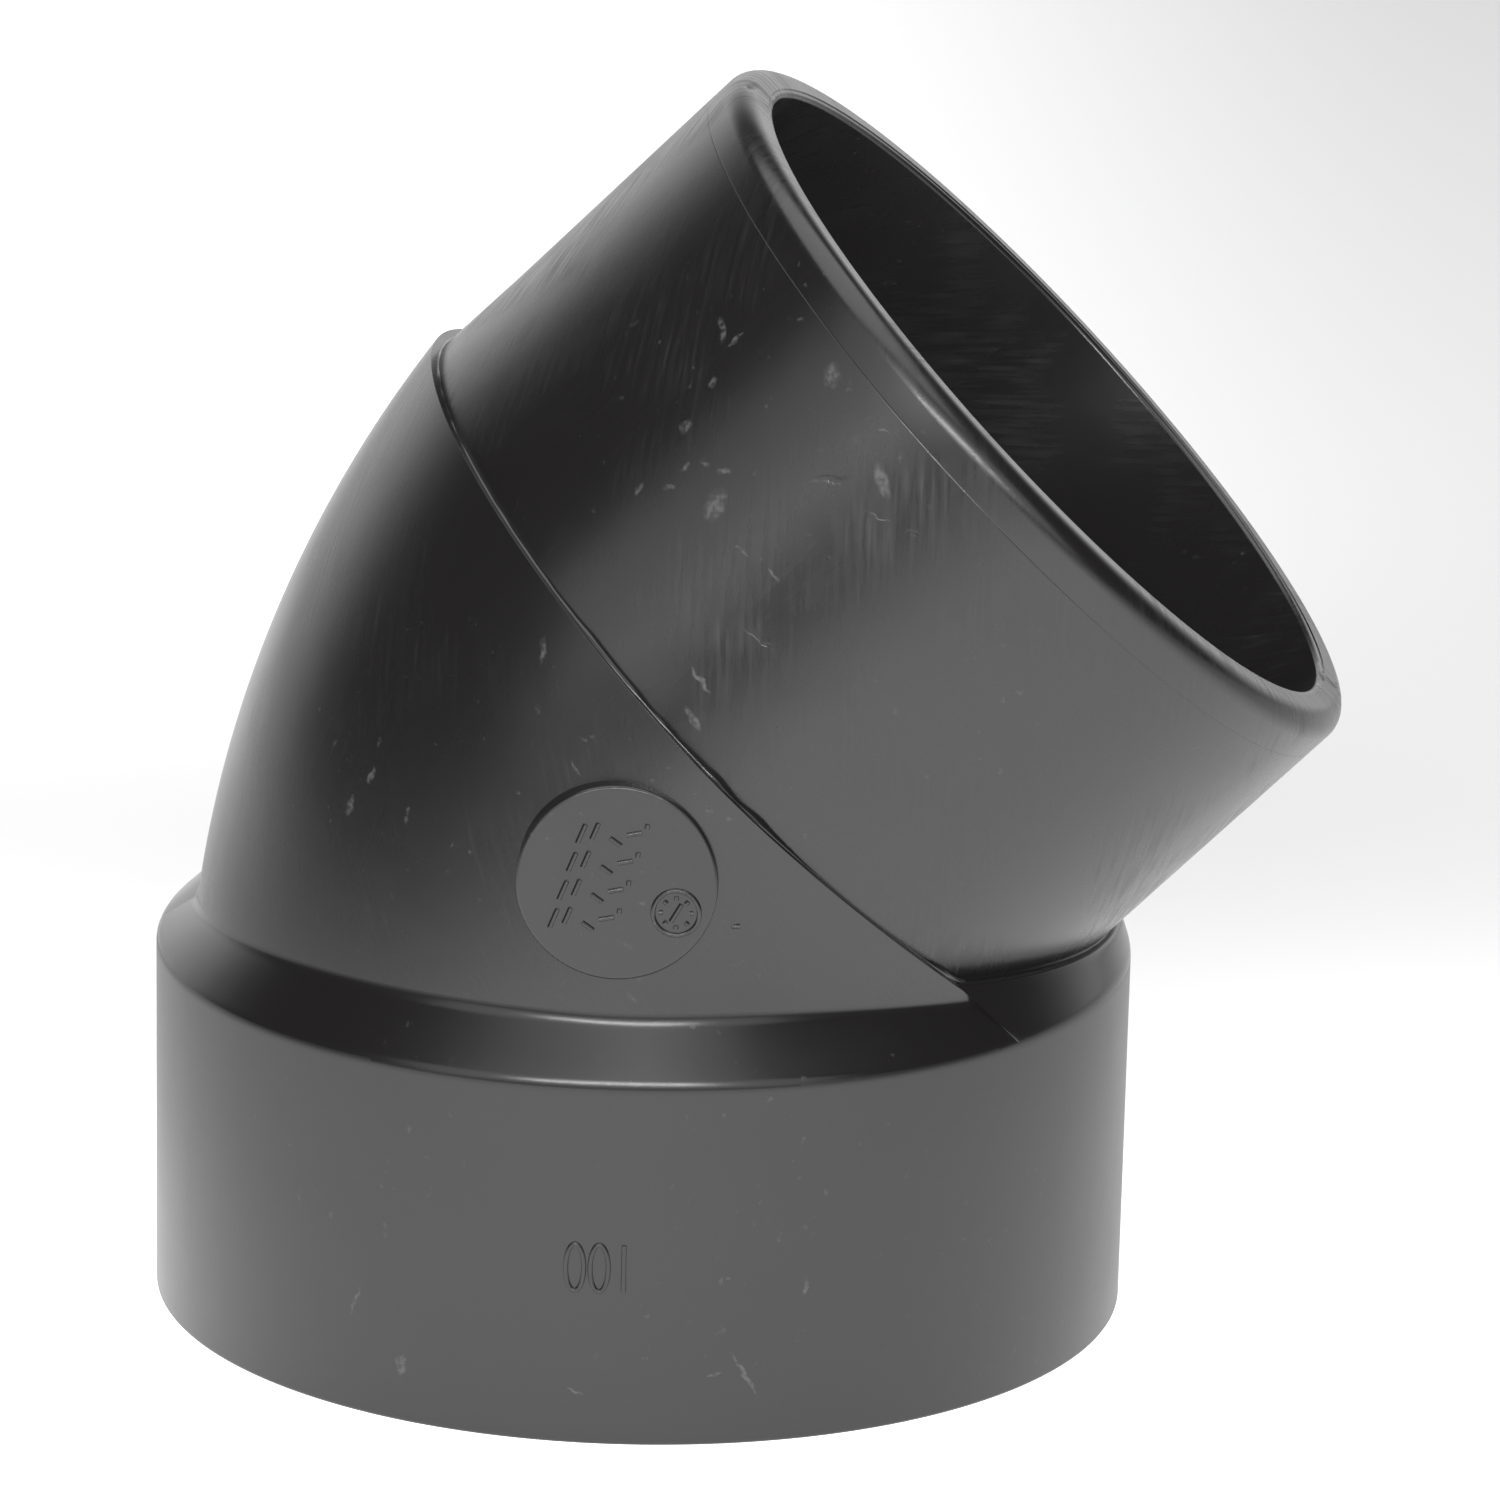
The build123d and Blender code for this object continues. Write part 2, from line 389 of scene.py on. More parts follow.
def whole_ring(rows_at):
    """A closed ring about the hub's axis. rows_at(angle) gives its rows of (radius, height)."""
    bm = bmesh.new()
    start = circle(bm, hub_r, steps=COLLAR_AROUND, matrix=Matrix.Translation((0, 0, foot_z)))
    columns = {}

    def row_place(row):
        def place(point):
            angle = atan2(point.y, point.x)
            step = round(angle / (2 * pi) * COLLAR_AROUND)
            if step not in columns:
                rows = rows_at(angle)
                columns[step] = rows + inner_rows(rows[-1])
            return collar_point(step / COLLAR_AROUND * 2 * pi, *columns[step][row])
        return place

    loop = start
    for row in range(len(rows_at(0)) + 3):
        loop = grow(bm, loop, row_place(row))
    bmesh.ops.bridge_loops(bm, edges=loop + start)
    return bm


def keep_half(bm, keep_bend):
    """Cut a ring along the shoulder's plane, keep one side of it and close the cut."""
    cut = bmesh.ops.bisect_plane(bm, geom=[*bm.verts, *bm.edges, *bm.faces],
                                 plane_co=shoulder_centre, plane_no=(1, 0, 1),
                                 clear_outer=keep_bend, clear_inner=not keep_bend)["geom_cut"]
    bmesh.ops.edgeloop_fill(bm, edges=[g for g in cut if isinstance(g, bmesh.types.BMEdge)])
    return bm


bend_half = keep_half(whole_ring(bend_side_rows), keep_bend=True)
barrel_half = keep_half(whole_ring(barrel_side_rows), keep_bend=False)
collar_ring = finish_mesh(bend_half, "collar_ring", "collar", chart=hub_chart)
collar_shelf = finish_mesh(barrel_half, "collar_shelf", "collar", chart=hub_chart)

# %% [markdown]
# ## The bend
# The bend's outside is a piece of a ring-shaped tube: a circle spun about a pivot. Each
# lengthwise line of it is then stretched so that one end lies level, hidden in the collar, and
# the other end lies in the shoulder's slanting plane. From there the loop of edges grows in
# over the shoulder's face, up inside the barrel's wall, and back down as the waterway's inside.

# %% Spin the bend's outside and fit its ends
BEND_STEPS = 56
buried_z = 45.0 * MM                 # level end of the bend's skin, inside the hub's floor
crotch_z = 45.9 * MM                 # lowest that the shoulder's edge may reach

bend = bmesh.new()
start_loop = circle(bend, bend_r, matrix=Matrix.Translation((0, 0, bend_pivot.z)))
start = [*bend.verts, *start_loop]
bmesh.ops.spin(bend, geom=start, cent=bend_pivot, axis=(0, 1, 0), dvec=(0, 0, 0), angle=1.0,
               steps=BEND_STEPS, use_merge=False)


def about_pivot(from_pivot, across, lift):
    """Point at this distance and lift angle about the bend's pivot."""
    return Vector((bend_pivot.x - from_pivot * cos(lift), across,
                   bend_pivot.z + from_pivot * sin(lift)))


def fitted(point):
    """Move a point of the even spin along its own arc, between the two end planes."""
    from_pivot = hypot(point.x - bend_pivot.x, point.z - bend_pivot.z)
    share = atan2(point.z - bend_pivot.z, bend_pivot.x - point.x)
    low = asin((buried_z - bend_pivot.z) / from_pivot)
    reach = (bend_pivot.x + bend_pivot.z - shoulder_sum) / (sqrt(2) * from_pivot)
    high = acos(reach) - pi / 4
    top = about_pivot(from_pivot, point.y, high)
    if top.z > crotch_z:
        return about_pivot(from_pivot, point.y, low + (high - low) * share)
    bottom = about_pivot(from_pivot, point.y, low)
    top = Vector((shoulder_sum - crotch_z, point.y, crotch_z))
    return bottom.lerp(top, share)


for v in bend.verts:
    v.co = fitted(v.co)
    v.co.y *= slimmed(v.co.x, v.co.z)
top_verts = [v for v in bend.verts if abs(past_shoulder(v.co)) < 1e-6 and v.is_boundary]
top_loop = loop_of(top_verts)
bottom_loop = loop_of([v for v in bend.verts if v.is_boundary and abs(v.co.z - buried_z) < 1e-6])
print("bend ends have", len(top_loop), "and", len(bottom_loop), "edges")

# %% Grow the shoulder, the neck and the waterway
LEDGE_R = 56.3 * MM                  # how far in the shoulder's face runs, under the barrel
NECK_R = 54.0 * MM
neck_s = 24.0 * MM
liner_foot = 46.5 * MM


def in_spigot(radius, along):
    """place() for a ring about the spigot's axis."""
    def place(point):
        local = spigot_frame.inverted() @ point
        around = atan2(local.y, local.x)
        return spigot_frame @ Vector((radius * cos(around), radius * sin(around), along))
    return place


def over_the_ledge(point):
    """Point on the shoulder's face, in towards the spigot's axis."""
    off = point - shoulder_centre
    return shoulder_centre + off * min(LEDGE_R / off.length, 0.995)


loop = grow(bend, top_loop, over_the_ledge)
loop = grow(bend, loop, in_spigot(NECK_R, neck_s))
loop = grow(bend, loop, in_spigot(waterway_r, neck_s))
loop = grow(bend, loop, in_spigot(waterway_r, waterway_tangent))
liner_pivot = Vector((waterway_sweep_r, 0, axes_meet.z - waterway_tangent))
ring = list({v for e in loop for v in e.verts})
spun = bmesh.ops.spin(bend, geom=ring + loop, cent=liner_pivot, axis=(0, -1, 0),
                      dvec=(0, 0, 0), angle=turn, steps=24, use_merge=False)["geom_last"]
loop = loop_of([g for g in spun if isinstance(g, bmesh.types.BMVert)])


def level(radius, height):
    """place() for a level ring about the hub's axis."""
    def place(point):
        flat = point.xy.normalized() * radius
        return Vector((flat.x, flat.y, height))
    return place


loop = grow(bend, loop, level(waterway_r, liner_foot))
loop = grow(bend, loop, level(52.0 * MM, 44.9 * MM))
bmesh.ops.bridge_loops(bend, edges=loop + bottom_loop)

# %% Round the shoulder's edge
SHOULDER_ROUND = 0.5 * MM
shown = [
    e for e in bend.edges
    if all(abs(past_shoulder(v.co)) < 1e-6 and v.co.z > crotch_z + 2 * MM for v in e.verts)
    and all((v.co - shoulder_centre).length > LEDGE_R + 0.5 * MM for v in e.verts)
]
round_edges(bend, shown, SHOULDER_ROUND, 5)


def bend_chart(point):
    """Round the tube from the front, and along its sweep."""
    from_pivot = hypot(point.x - bend_pivot.x, point.z - bend_pivot.z)
    lift = atan2(point.z - bend_pivot.z, bend_pivot.x - point.x)
    return atan2(from_pivot - sweep_r, -point.y), bend_r, lift * sweep_r


bend_shell = finish_mesh(bend, "bend_shell", "bend_body", corner=50, chart=bend_chart)

# %% [markdown]
# ## The spigot's barrel
# The plain end is another turned ring, spun upright and then leant over on to its own axis.
# Its rim has a broad round outside and a small one inside, and its lip is flat with a fine
# step left by the mould's core. The hidden end is pushed up where it would hang into the
# hub's socket.

# %% Spin the barrel
RIM_ROUND = 3.0 * MM
LIP_ROUND = 0.7 * MM
plain_s = rim_s - 41.0 * MM          # pipe size starts here; below it the barrel has some draft
root_s = 17.0 * MM
ROOT_R = spigot_r + 0.2 * MM
STEP_R = waterway_r + 1.1 * MM       # fine step on the lip
STEP_DEEP = 0.15 * MM
line_s = rim_s - 6.2 * MM            # faint line where the mould's end ring met its body

barrel = turned(
    [
        (NECK_R, root_s),
        (ROOT_R, root_s),
        (spigot_r, plain_s),
        (spigot_r, plain_s + 0.33 * (rim_s - plain_s)),
        (spigot_r, line_s - 0.15 * MM),
        (spigot_r - 0.06 * MM, line_s),
        (spigot_r, line_s + 0.15 * MM),
        (spigot_r, rim_s),
        (STEP_R, rim_s),
        (STEP_R - 0.1 * MM, rim_s - STEP_DEEP),
        (waterway_r, rim_s - STEP_DEEP),
        (waterway_r, neck_s + 0.5 * (rim_s - neck_s)),
        (waterway_r, neck_s),
        (NECK_R, neck_s),
    ],
    rounds=[
        (spigot_r, rim_s, RIM_ROUND, 10),
        (waterway_r, rim_s - STEP_DEEP, LIP_ROUND, 5),
    ],
    steps=360,
)
nicked = 0
for v in barrel.verts:
    from_seam = abs(v.co.y) / MM
    if v.co.z > rim_s - 0.4 * MM and from_seam < 6:
        rough = noise.noise(v.co * 900) * (1 - from_seam / 6)
        v.co.z -= max(0, rough) * 0.9 * MM
        nicked += 1
barrel.transform(spigot_frame)
print("corners nicked where the mould's halves met:", nicked)

# %% Keep the barrel's hidden end out of the socket
for v in barrel.verts:
    lift = max(0, foot_z - 0.4 * MM - v.co.z)
    v.co += spigot_way * (lift / spigot_way.z)


def barrel_chart(point):
    """Round from the front over the top, and along the spigot's axis."""
    local = spigot_frame.inverted() @ point
    return atan2(-local.x, -local.y), spigot_r, local.z


spigot_shell = finish_mesh(barrel, "spigot_shell", "spigot_barrel", chart=barrel_chart)

# %% [markdown]
# ## Flash in the shoulder
# Where the two halves of the mould closed on the shoulder, a little plastic crept into the
# corner and froze as an uneven bead. It is widest where the shoulder's face is widest, at the
# top, and dies away towards the sides. Eight rows of a small round section are grown about the
# spigot's axis, and noise makes the bead thick and thin.

# %% Grow the bead
def shoulder_width(around):
    """How far the shoulder's edge stands out from the barrel, at this angle about its axis."""
    near, far = 0.9 * spigot_r, 1.2 * spigot_r
    for _ in range(30):
        middle = (near + far) / 2
        place = spigot_frame @ Vector((middle * cos(around), middle * sin(around), shoulder_s))
        near, far = (middle, far) if inside_bend(place) else (near, middle)
    return near - spigot_r


BEAD_ROWS = 8


def bead_row(row):
    """place() for one row of the bead's small section."""
    def place(point):
        around = atan2(point.y, point.x)
        width = shoulder_width(around)
        lump = 1 + 0.8 * noise.noise(Vector((cos(around), sin(around), 0)) * 14)
        grown = min(1, max(0, (width - 1.0 * MM) / (1.2 * MM)))
        thick = (0.06 * MM + 0.46 * MM * grown) * lump
        centre = spigot_r - 0.3 * MM + 1.15 * MM * grown
        middle_z = (spigot_frame @ Vector((centre * cos(around), 0, shoulder_s))).z
        lift = max(0, foot_z + 4 * MM + thick - middle_z) / spigot_way.z
        turn_by = 2 * pi * row / BEAD_ROWS
        radius = centre + thick * cos(turn_by)
        along = shoulder_s - 0.05 * MM + thick * sin(turn_by) + lift
        return Vector((radius * cos(around), radius * sin(around), along))
    return place


bead = bmesh.new()
first_loop = circle(bead, spigot_r, steps=480)
for v in bead.verts:
    v.co = bead_row(0)(v.co.copy())
loop = first_loop
for row in range(1, BEAD_ROWS):
    loop = grow(bead, loop, bead_row(row))
bmesh.ops.bridge_loops(bead, edges=loop + first_loop)
bead.transform(spigot_frame)
shoulder_flash = finish_mesh(bead, "shoulder_flash", "shoulder_bead", corner=80)
print("shoulder stands out by", round(shoulder_width(pi) / MM, 2), "mm at the top")

# %% [markdown]
# ## Raised lines
# The mould line, the numerals and the marks on the pad are all shallow rounded ridges that
# stand out of a skin. Each is a curve that lies on the skin, given a round section that is
# mostly sunk, and then made a mesh.

# %% Write the ridge helper
def ridges(name, runs, width, sunk, *nodes):
    """Rounded ridges along runs of points. A run is (points, closed)."""
    curve = bpy.data.curves.new(name, "CURVE")
    curve.dimensions = "3D"
    curve.bevel_depth = width / 2
    curve.bevel_resolution = 2
    curve.use_fill_caps = True
    for points, closed in runs:
        spline = curve.splines.new("POLY")
        spline.points.add(len(points) - 1)
        for end, (point, inward) in zip(spline.points, points):
            end.co = (*(point + inward * sunk), 1)
        spline.use_cyclic_u = closed
    holder = bpy.data.objects.new(name, curve)
    bpy.context.scene.collection.objects.link(holder)
    bpy.context.view_layer.update()
    mesh = bpy.data.meshes.new_from_object(holder)
    bpy.data.objects.remove(holder)
    bm = bmesh.new()
    bm.from_mesh(mesh)
    bpy.data.meshes.remove(mesh)
    return finish_mesh(bm, name, *nodes, corner=70)


def straight(start, end, steps=12):
    return [start.lerp(end, step / steps) for step in range(steps + 1)]


# %% Draw the mould line over the bevel
def on_bevel(side, share):
    """Point of the bevel in the shoulder's plane, this share of the way up, and inwards."""
    angle = side * radians(43)
    for _ in range(8):
        radius, height = foot.lerp(bend_side_edge(angle), share)
        angle = side * acos((shoulder_sum - height) / radius)
    return collar_point(angle, radius, height), collar_point(angle, -1, 0)


mould_runs = []
for side in (-1, 1):
    mould_runs.append(([on_bevel(side, step / 14) for step in range(15)], False))
mould_line = ridges("mould_line", mould_runs, 0.4 * MM, 0.1 * MM, "parting_line")

# %% [markdown]
# ## The size on the hub
# The nominal bore is moulded on the hub's wall, upside down as the fitting stands. Each
# numeral is one stroke or one closed loop that follows the round wall.

# %% Draw the size
NUMERAL_HIGH = 6.2 * MM
ROUND_HIGH = 2.1 * MM                # half the width of a nought
numeral_centre = Vector((-1.75, 23.65)) * MM


def on_hub(across, up):
    """Point on the hub's front wall, and the way inwards."""
    angle = across / hub_r - pi / 2
    return collar_point(angle, hub_r - 0.03 * MM, up), collar_point(angle, -1, 0)


def nought(across):
    """Closed loop, as tall as the numerals."""
    half = NUMERAL_HIGH / 2
    run = []
    for step in range(40):
        turn_by = 2 * pi * step / 40
        run.append(on_hub(across + ROUND_HIGH * 0.55 * cos(turn_by),
                          numeral_centre.y + half * sin(turn_by)))
    return run, True


one = [on_hub(numeral_centre.x + 3.1 * MM, numeral_centre.y + (step / 12 - 0.5) * NUMERAL_HIGH)
       for step in range(13)]
size_runs = [(one, False), nought(numeral_centre.x), nought(numeral_centre.x - 3.1 * MM)]
size_figures = ridges("size_figures", size_runs, 0.7 * MM, 0.14 * MM, "size_numerals")

# %% [markdown]
# ## The pad and its marks
# A flat round pad for the moulder's marks stands out of the bend. It is a disc with a softly
# rounded rim. The marks on it are generic: short dashes in rows, a date clock and a gate pip.

# %% Make the pad
pad_low, pad_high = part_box("marking_disc")
pad_centre = (pad_low + pad_high) / 2
pad_r = (pad_high.x - pad_low.x) / 2
pad_face_y = pad_low.y

pad = bmesh.new()
bmesh.ops.create_circle(pad, cap_ends=True, segments=128, radius=pad_r)
rim_edges = list(pad.edges)
wall = bmesh.ops.extrude_face_region(pad, geom=list(pad.faces))["geom"]
for g in wall:
    if isinstance(g, bmesh.types.BMVert):
        g.co.z -= 6 * MM
round_edges(pad, [e for e in rim_edges if e.is_valid], 0.45 * MM, 4)
pad.transform(Matrix.Translation((pad_centre.x, pad_face_y, pad_centre.z))
              @ Matrix.Rotation(pi / 2, 4, "X"))
disc_pad = finish_mesh(pad, "disc_pad", "marking_disc", corner=50)


# %% Draw the marks
def on_pad(x, z):
    return Vector((x * MM, pad_face_y, z * MM)), Vector((0, 1, 0))


def dash(x, z, length, slant):
    """Straight run on the pad, its slant in degrees from level."""
    reach = Vector((cos(radians(slant)), sin(radians(slant)))) * length / 2
    return [on_pad(x - reach.x, z - reach.y), on_pad(x + reach.x, z + reach.y)], False


def ring(x, z, radius, steps=40):
    angles = [2 * pi * step / steps for step in range(steps)]
    return [on_pad(x + radius * cos(a), z + radius * sin(a)) for a in angles], True


CLOCK_X, CLOCK_Z, CLOCK_R = 6.9, 69.6, 2.9
marks = [ring(CLOCK_X, CLOCK_Z, CLOCK_R), dash(CLOCK_X, CLOCK_Z, 2.6, 60)]
for hour in range(0, 360, 45):
    marks.append(dash(CLOCK_X + 1.9 * cos(radians(hour)), CLOCK_Z + 1.9 * sin(radians(hour)),
                      0.45, hour))
for row in range(4):
    left, height = -8.4 + 1.1 * row, 68.4 + 3.7 * row
    marks.append(dash(left, height, 2.6, 68))
    marks.append(dash(left + 1.7, height + 0.4, 2.2, 68))
    marks.append(dash(left + 4.3, height - 0.9, 1.7, -35))
    marks.append(dash(left + 6.6, height + 0.2, 1.9, 12))
    marks.append(dash(left + 8.2, height + 1.2, 0.6, 80))
pip_x, pip_z = 14.3, 67.4
from_pivot = hypot(pip_x * MM - bend_pivot.x, pip_z * MM - bend_pivot.z)
skin_y = -sqrt(bend_r ** 2 - (from_pivot - sweep_r) ** 2) * slimmed(pip_x * MM, pip_z * MM)
pip = [(Vector(((pip_x + x) * MM, skin_y, pip_z * MM)), Vector((0, 1, 0))) for x in (-0.5, 0.5)]
marks.append((pip, False))
disc_symbols = ridges("disc_symbols", marks, 0.66 * MM, 0.04 * MM, "disc_marks")

# %% [markdown]
# ## Black plastic
# The real thing is one black plastic, but its skin isn't the same all over. The hub came from
# a sparked part of the mould and is finely grained. The barrel and the bend are smoother, with
# faint lines along the way that the core was drawn. Handling has added small grey rubs, dents,
# brushed patches and hairline scratches. Sums of node values are written as plain Python: a
# small class wraps a socket, so that `1 - mask` adds the Math node by itself.

# %% Write the shader helpers
class Socket:
    """One output of a shader node, which can stand in ordinary sums."""

    def __init__(self, paint, output):
        self.paint, self.output = paint, output

    def sum(self, operation, first, second):
        return self.paint.node("ShaderNodeMath", {"operation": operation},
                               {0: first, 1: second})

    def __add__(self, other):
        return self.sum("ADD", self, other)

    def __sub__(self, other):
        return self.sum("SUBTRACT", self, other)

    def __rsub__(self, other):
        return self.sum("SUBTRACT", other, self)

    def __mul__(self, other):
        return self.sum("MULTIPLY", self, other)

    __radd__, __rmul__ = __add__, __mul__

    def most(self, other):
        return self.sum("MAXIMUM", self, other)

    def between(self, low, high):
        """0 below low and 1 above high, with a soft rise from one to the other."""
        return self.paint.node("ShaderNodeMapRange", {"interpolation_type": "SMOOTHSTEP"},
                               {"Value": self, "From Min": low, "From Max": high})


class Paint:
    """A material whose nodes are added one by one."""

    def __init__(self, name):
        self.material = bpy.data.materials.new(name)
        self.material.use_nodes = True
        self.tree = self.material.node_tree
        self.shader = self.tree.nodes["Principled BSDF"]
        self.place = self.node("ShaderNodeTexCoord", out="Object")

    def node(self, kind, settings=None, values=None, out=0):
        made = self.tree.nodes.new(kind)
        for key, value in (settings or {}).items():
            setattr(made, key, value)
        for key, value in (values or {}).items():
            self.feed(made.inputs[key], value)
        return Socket(self, made.outputs[out])

    def feed(self, target, value):
        if isinstance(value, Socket):
            self.tree.links.new(value.output, target)
        else:
            target.default_value = value

    def noise(self, where, scale, detail=2.0):
        return self.node("ShaderNodeTexNoise", None,
                         {"Vector": where, "Scale": scale, "Detail": detail})

    def turned(self, where, move=(0, 0, 0), turn_by=(0, 0, 0), size=(1, 1, 1)):
        """Coordinates in which this place, turn and size are the origin, level and one."""
        return self.node("ShaderNodeMapping", {"vector_type": "TEXTURE"},
                         {"Vector": where, "Location": move, "Rotation": turn_by, "Scale": size})

    def blend(self, mask, low, high):
        return self.node("ShaderNodeMix", {"data_type": "RGBA"}, {0: mask, 6: low, 7: high}, out=2)


# %% Write the marks that handling leaves
def rub(paint, skin, mark):
    """Soft oval on the skin: round, along, length and width in mm, and its slant."""
    around, along, length, width, slant = mark
    here = paint.turned(skin, (around * MM, along * MM, 0), (0, 0, -radians(slant)),
                        (width / 2 * MM, length / 2 * MM, 1))
    oval = paint.node("ShaderNodeTexGradient", {"gradient_type": "SPHERICAL"}, {"Vector": here},
                      out=1)
    return oval.between(0.0, 0.6)


def gathered(paint, skin, marks):
    """All the ovals of a list in one mask, their outlines made uneven."""
    cloudy = paint.node("ShaderNodeTexNoise", None,
                        {"Vector": paint.place, "Scale": 700.0, "Detail": 3.0}, out=1)
    push = paint.node("ShaderNodeVectorMath", {"operation": "SUBTRACT"},
                      {0: cloudy, 1: (0.5, 0.5, 0.5)})
    small = paint.node("ShaderNodeVectorMath", {"operation": "SCALE"},
                       {0: push, "Scale": 1.6 * MM})
    uneven = paint.node("ShaderNodeVectorMath", {"operation": "ADD"}, {0: skin, 1: small})
    mask = rub(paint, uneven, marks[0])
    for mark in marks[1:]:
        mask = mask.most(rub(paint, uneven, mark))
    return mask


# %% Write the plastic
BLACK = (0.0045, 0.0041, 0.0043, 1)
RUBBED = (0.060, 0.060, 0.062, 1)


def plastic(name, roughness, grain, drawn=0.0, rubs=(), dents=(), haze=0.02, brushed=0.0):
    """Black plastic. grain and drawn are the heights of its grain and draw lines in mm."""
    paint = Paint(name)
    place = paint.place
    clouds = paint.noise(place, 24, 3)
    patches = paint.noise(place, 90, 4)
    fine = paint.noise(place, 2400, 2)
    swell = paint.noise(place, 120, 1)
    height = fine * (grain * MM) + swell * (0.035 * MM)
    specks = paint.noise(place, 700, 3).between(0.66, 0.8) * clouds.between(0.45, 0.6)
    worn = specks * 0.5
    gloss = roughness - 0.06 + clouds * 0.10 + patches * haze
    if rubs or drawn:
        skin = paint.node("ShaderNodeUVMap", {"uv_map": "skin"})
        lines = paint.noise(paint.turned(skin, size=(0.0012, 0.03, 1)), 1.0, 3)
        height = height + lines * (drawn * MM)
        gloss = gloss + lines.between(0.5, 0.75) * (drawn * 6)
        hair = paint.noise(paint.turned(skin, turn_by=(0, 0, 0.7), size=(0.0004, 0.012, 1)), 1.0)
        worn = worn.most(hair.between(0.74, 0.8) * clouds.between(0.5, 0.62) * 0.5)
    if brushed:
        strokes = paint.noise(paint.turned(skin, turn_by=(0, 0, -0.8), size=(0.0007, 0.010, 1)),
                              1.0, 3)
        handled = paint.noise(place, 55, 4).between(0.42, 0.62)
        gloss = gloss + strokes.between(0.35, 0.75) * handled * brushed
        worn = worn.most(strokes.between(0.6, 0.85) * handled * 0.2)
    if rubs:
        ragged = paint.noise(place, 1500, 3).between(0.36, 0.62)
        worn = worn.most(gathered(paint, skin, rubs) * (ragged * 0.75 + 0.2) * 0.85)
    if dents:
        height = height - gathered(paint, skin, dents) * (0.022 * MM)
    paint.feed(paint.shader.inputs["Base Color"], paint.blend(worn, BLACK, RUBBED))
    paint.feed(paint.shader.inputs["Roughness"], gloss + worn * 0.2)
    bump = paint.node("ShaderNodeBump", None, {"Height": height, "Distance": 1.0})
    paint.feed(paint.shader.inputs["Normal"], bump)
    paint.shader.inputs["IOR"].default_value = 1.52
    return paint.material


# %% Paint the pieces
BARREL_RUBS = [
    (29.7, 62.8, 3.7, 3.0, 45), (45.0, 55.0, 4.6, 1.2, 66), (42.5, 55.5, 3.2, 0.7, 5),
    (40.1, 50.1, 2.1, 1.5, 20), (38.1, 44.0, 2.3, 1.8, 15), (36.1, 34.4, 2.2, 1.3, 40),
    (33.4, 37.9, 2.0, 1.1, -20), (34.0, 41.0, 2.0, 0.9, 0), (32.5, 43.2, 2.2, 0.8, -70),
    (30.0, 44.6, 2.4, 1.2, -60), (27.5, 41.0, 5.5, 3.2, 25), (15.5, 59.2, 5.0, 1.8, 66),
    (20.9, 40.0, 2.3, 0.5, -75), (16.0, 41.0, 2.6, 0.5, -87), (12.4, 25.2, 5.0, 0.9, 83),
    (9.4, 21.1, 4.2, 1.4, 77), (20.0, 63.5, 2.4, 0.5, -60),
]
BARREL_DENTS = [
    (19.9, 54.3, 5.3, 1.0, -45), (11.1, 34.3, 5.5, 0.6, -75), (12.3, 56.0, 3.4, 0.6, -59),
    (8.0, 57.5, 2.2, 0.8, -50),
]
BEND_RUBS = [
    (46.0, 35.7, 1.6, 1.2, 0), (47.6, 32.0, 2.2, 1.6, 30), (32.1, 55.7, 3.2, 0.9, 40),
    (2.0, 26.5, 3.0, 0.6, 60), (20.0, 48.0, 2.6, 0.5, 70),
]
HUB_RUBS = [
    (-34.9, 15.0, 4.8, 0.6, 24), (-28.0, 7.6, 3.7, 2.0, -5), (17.0, 9.3, 8.6, 0.9, -33),
    (24.9, 20.4, 2.4, 0.9, 10), (-4.5, 7.0, 2.2, 0.5, -60), (13.0, 9.5, 2.6, 0.7, 70),
]
hub_paint = plastic("hub plastic", 0.34, 0.010, rubs=HUB_RUBS)
collar_paint = plastic("collar plastic", 0.24, 0.003)
bend_paint = plastic("bend plastic", 0.25, 0.004, drawn=0.002, rubs=BEND_RUBS, haze=0.04,
                     brushed=0.05)
barrel_paint = plastic("barrel plastic", 0.23, 0.0035, drawn=0.003, rubs=BARREL_RUBS,
                       dents=BARREL_DENTS, haze=0.08, brushed=0.14)
trim_paint = plastic("sharp new plastic", 0.2, 0.002)
finishes = {
    hub_shell: hub_paint, collar_ring: collar_paint, collar_shelf: collar_paint,
    bend_shell: bend_paint, spigot_shell: barrel_paint, shoulder_flash: trim_paint,
    mould_line: trim_paint, size_figures: hub_paint, disc_pad: bend_paint,
    disc_symbols: trim_paint,
}
for piece, finish in finishes.items():
    piece.data.materials.append(finish)
print("finishes:", len(set(finishes.values())), "on", len(finishes), "pieces")

# %% Carry the hub's grain up to the corner under the bevel
grain_ends_z = bevel_foot_z - 0.25 * MM
for half in (collar_ring, collar_shelf):
    half.data.materials.append(hub_paint)
    for face in half.data.polygons:
        face.material_index = 1 if face.center.z < grain_ends_z else 0
print("the hub's grain ends at", round(grain_ends_z / MM, 2), "mm")

# %% [markdown]
# ## The floor
# The stage is a plain white sheet, far larger than what the camera sees. It glows as a light
# table does, in front of the fitting and faintly far behind it at the left, so that the hub
# mirrors an even white and hardly casts a shadow. It lies a hair below the fitting's foot, so
# that the two don't share a plane.

